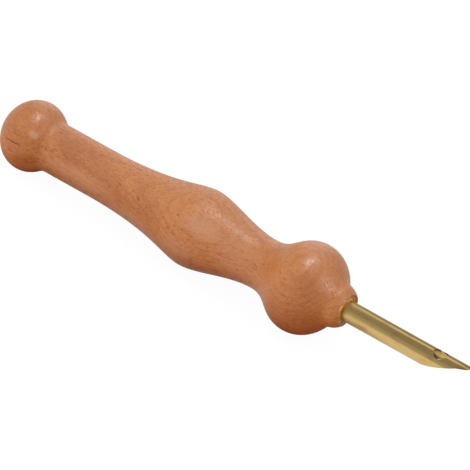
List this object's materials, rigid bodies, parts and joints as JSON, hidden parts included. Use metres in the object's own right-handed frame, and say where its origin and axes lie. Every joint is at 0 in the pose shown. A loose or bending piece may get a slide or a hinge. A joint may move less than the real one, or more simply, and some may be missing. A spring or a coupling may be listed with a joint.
{
  "type": "punch needle",
  "caption": "Hand punch needle: turned beech handle with knob, swelling grip and front ball, and a bevelled brass tube needle with an eye that carries yarn through cloth.",
  "frame": {"origin": "on the tool's axis, halfway between the rear face and the needle's point", "axes": "+X along the axis towards the point, +Z out of the eye in the needle's upper wall, bevel opening towards -Z"},
  "size_m": [0.1536, 0.026, 0.026],
  "materials": {
    "beech": "turned beech under clear satin varnish",
    "brass": "drawn and polished tube",
    "glue": "clear amber glue, set glossy"
  },
  "bodies": {
    "root": {"handle": "beech", "needle": "brass", "adhesive_bead": "glue"}
  },
  "joints": []
}
